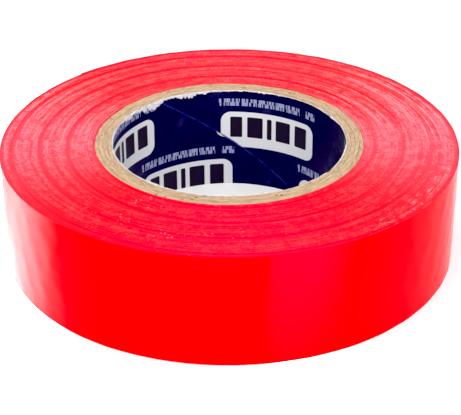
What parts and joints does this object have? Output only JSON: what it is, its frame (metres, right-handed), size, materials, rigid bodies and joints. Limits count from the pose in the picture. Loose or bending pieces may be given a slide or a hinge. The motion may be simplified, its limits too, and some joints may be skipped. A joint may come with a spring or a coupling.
{
  "type": "electrical tape roll",
  "caption": "Roll of glossy red PVC insulating tape wound on a spiral-wound paper core, with a free end that peels off the roll and straightens.",
  "frame": {"origin": "on the roll's axis, at the side face that it lies on", "axes": "+Z along the roll's axis, away from the face it lies on; the tape's free end lies on the +Y side of the roll and points anticlockwise seen from +Z"},
  "size_m": [0.0764, 0.0765, 0.019],
  "materials": {
    "red_pvc": "gloss",
    "kraft_board": "matte",
    "printed_liner": "satin"
  },
  "bodies": {
    "roll": {"core_liner": "printed_liner", "core_ply_1": "kraft_board", "core_ply_2": "kraft_board", "core_ply_3": "kraft_board", "core_ply_4": "kraft_board", "tape_winding": "red_pvc"},
    "tail_01": {"tape_tail_01": "red_pvc"},
    "tail_02": {"tape_tail_02": "red_pvc"},
    "tail_03": {"tape_tail_03": "red_pvc"},
    "tail_04": {"tape_tail_04": "red_pvc"},
    "tail_05": {"tape_tail_05": "red_pvc"},
    "tail_06": {"tape_tail_06": "red_pvc"},
    "tail_07": {"tape_tail_07": "red_pvc"},
    "tail_08": {"tape_tail_08": "red_pvc"},
    "tail_09": {"tape_tail_09": "red_pvc"},
    "tail_10": {"tape_tail_10": "red_pvc"},
    "tail_11": {"tape_tail_11": "red_pvc"},
    "tail_12": {"tape_tail_12": "red_pvc"}
  },
  "joints": [
    {"name": "tape_peel", "type": "hinge", "parent": "roll", "child": "tail_01", "pos_m": [0.02702, 0.02709, 0.0095], "axis": [0, 0, -1], "range_deg": [0, 120]},
    {"name": "tape_uncurl", "type": "hinge", "parent": "tail_01", "child": "tail_02", "pos_m": [0.02329, 0.03036, 0.0095], "axis": [0, 0, -1], "range_deg": [0, 7.5]},
    {"name": "tape_uncurl_03", "type": "hinge", "parent": "tail_02", "child": "tail_03", "pos_m": [0.01913, 0.03314, 0.0095], "axis": [0, 0, -1], "range_deg": [0, 7.5]},
    {"name": "tape_uncurl_04", "type": "hinge", "parent": "tail_03", "child": "tail_04", "pos_m": [0.01465, 0.03536, 0.0095], "axis": [0, 0, -1], "range_deg": [0, 7.5]},
    {"name": "tape_uncurl_05", "type": "hinge", "parent": "tail_04", "child": "tail_05", "pos_m": [0.00991, 0.03697, 0.0095], "axis": [0, 0, -1], "range_deg": [0, 7.5]},
    {"name": "tape_uncurl_06", "type": "hinge", "parent": "tail_05", "child": "tail_06", "pos_m": [0.005, 0.03795, 0.0095], "axis": [0, 0, -1], "range_deg": [0, 7.5]},
    {"name": "tape_uncurl_07", "type": "hinge", "parent": "tail_06", "child": "tail_07", "pos_m": [0, 0.03828, 0.0095], "axis": [0, 0, -1], "range_deg": [0, 7.5]},
    {"name": "tape_uncurl_08", "type": "hinge", "parent": "tail_07", "child": "tail_08", "pos_m": [-0.005, 0.03796, 0.0095], "axis": [0, 0, -1], "range_deg": [0, 7.5]},
    {"name": "tape_uncurl_09", "type": "hinge", "parent": "tail_08", "child": "tail_09", "pos_m": [-0.00991, 0.03698, 0.0095], "axis": [0, 0, -1], "range_deg": [0, 7.5]},
    {"name": "tape_uncurl_10", "type": "hinge", "parent": "tail_09", "child": "tail_10", "pos_m": [-0.01465, 0.03538, 0.0095], "axis": [0, 0, -1], "range_deg": [0, 7.5]},
    {"name": "tape_uncurl_11", "type": "hinge", "parent": "tail_10", "child": "tail_11", "pos_m": [-0.01915, 0.03316, 0.0095], "axis": [0, 0, -1], "range_deg": [0, 7.5]},
    {"name": "tape_uncurl_12", "type": "hinge", "parent": "tail_11", "child": "tail_12", "pos_m": [-0.02331, 0.03038, 0.0095], "axis": [0, 0, -1], "range_deg": [0, 7.5]}
  ],
  "couplings": [
    {"joint": "tape_uncurl_03", "follows": "tape_uncurl", "ratio": 1},
    {"joint": "tape_uncurl_04", "follows": "tape_uncurl", "ratio": 1},
    {"joint": "tape_uncurl_05", "follows": "tape_uncurl", "ratio": 1},
    {"joint": "tape_uncurl_06", "follows": "tape_uncurl", "ratio": 1},
    {"joint": "tape_uncurl_07", "follows": "tape_uncurl", "ratio": 1},
    {"joint": "tape_uncurl_08", "follows": "tape_uncurl", "ratio": 1},
    {"joint": "tape_uncurl_09", "follows": "tape_uncurl", "ratio": 1},
    {"joint": "tape_uncurl_10", "follows": "tape_uncurl", "ratio": 1},
    {"joint": "tape_uncurl_11", "follows": "tape_uncurl", "ratio": 1},
    {"joint": "tape_uncurl_12", "follows": "tape_uncurl", "ratio": 1}
  ]
}
